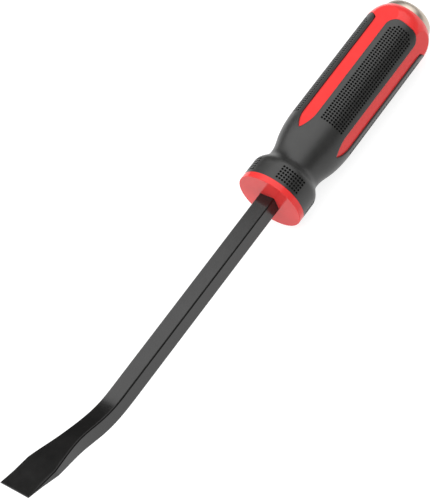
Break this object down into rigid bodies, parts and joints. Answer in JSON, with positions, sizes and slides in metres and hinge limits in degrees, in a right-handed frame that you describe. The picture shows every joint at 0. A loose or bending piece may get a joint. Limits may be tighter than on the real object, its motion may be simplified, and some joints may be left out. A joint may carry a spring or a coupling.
{
  "type": "pry bar",
  "caption": "Square-shank pry bar with a cranked, flared flat blade, a two-colour moulded handle with a front guard, and a steel strike cap.",
  "frame": {"origin": "middle of the footprint, at the handle's lowest line", "axes": "+X along the bar from the blade's tip to the strike cap, +Z the way the blade is cranked, +Y to the left seen from the tip end"},
  "size_m": [0.3468, 0.0384, 0.0424],
  "materials": {
    "black_steel": "satin black oxide over forged steel",
    "red_plastic": "smooth moulded hard plastic",
    "black_rubber": "soft moulded thermoplastic rubber",
    "plated_steel": "satin nickel plate"
  },
  "bodies": {
    "root": {"bar": "black_steel", "handle_core": "red_plastic", "soft_grip": "black_rubber", "strike_cap": "plated_steel"}
  },
  "joints": []
}
